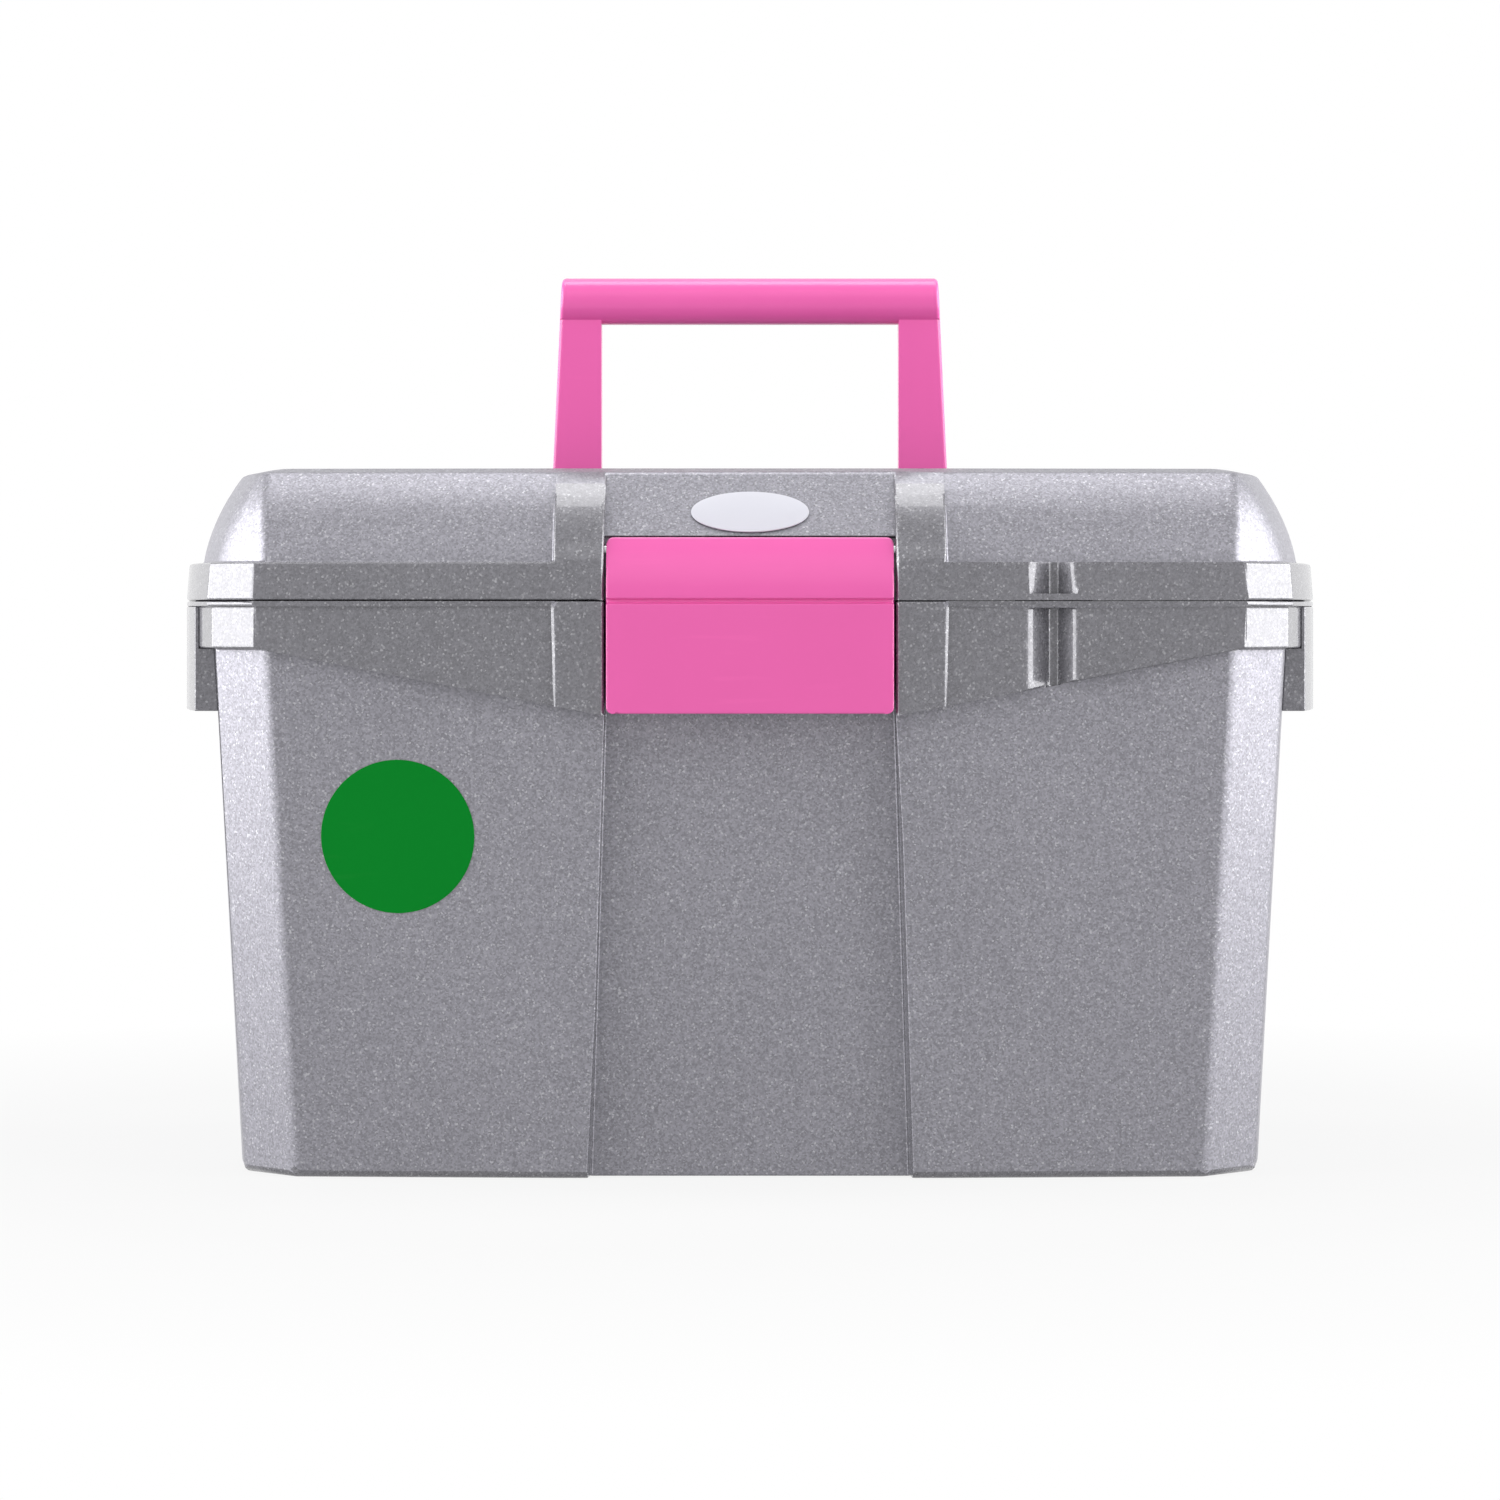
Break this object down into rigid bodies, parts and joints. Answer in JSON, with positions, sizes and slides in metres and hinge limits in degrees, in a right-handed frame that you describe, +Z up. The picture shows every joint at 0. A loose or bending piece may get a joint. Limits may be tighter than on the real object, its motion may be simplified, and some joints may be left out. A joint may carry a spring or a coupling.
{
  "type": "grooming box",
  "caption": "Tapered plastic grooming box with a hinged domed lid, folding carry handle, wide front latch, side grips, padlock eye and a lift-out compartment tray.",
  "frame": {"origin": "bottom centre of the closed box's bounding box, on the surface it stands on", "axes": "front with the latch faces -Y, +X to the right seen from the front, +Z up"},
  "size_m": [0.4, 0.24, 0.311],
  "materials": {
    "silver_plastic": "silver metallic-flake polypropylene, satin",
    "tray_plastic": "silver metallic-flake polypropylene, satin",
    "pink_plastic": "satin pink polypropylene",
    "steel": "drawn steel wire",
    "white_plastic": "glossy white",
    "green_vinyl": "printed green vinyl, semi-gloss"
  },
  "bodies": {
    "base": {"base_tub": "silver_plastic", "side_grip_left": "silver_plastic", "side_grip_right": "silver_plastic", "hinge_pin_left": "steel", "hinge_pin_right": "steel", "round_label": "green_vinyl"},
    "lid": {"lid_shell": "silver_plastic", "handle_pin_left": "steel", "handle_pin_right": "steel", "latch_pin_left": "steel", "latch_pin_right": "steel", "oval_badge": "white_plastic"},
    "handle": {"carry_handle": "pink_plastic"},
    "latch": {"front_latch": "pink_plastic"},
    "tray": {"insert_tray": "tray_plastic", "tray_dividers": "tray_plastic"}
  },
  "joints": [
    {"name": "lid_open", "type": "hinge", "parent": "base", "child": "lid", "pos_m": [0, 0.1163, 0.19565], "axis": [-1, 0, 0], "range_deg": [0, 105]},
    {"name": "handle_fold", "type": "hinge", "parent": "lid", "child": "handle", "pos_m": [0, -0.006, 0.2305], "axis": [-1, 0, 0], "range_deg": [0, 90]},
    {"name": "latch_swing", "type": "hinge", "parent": "lid", "child": "latch", "pos_m": [0, -0.1118, 0.2127], "axis": [-1, 0, 0], "range_deg": [0, 100]},
    {"name": "tray_lift", "type": "slide", "parent": "base", "child": "tray", "axis": [0, 0, 1], "range_m": [0, 0.02]}
  ]
}
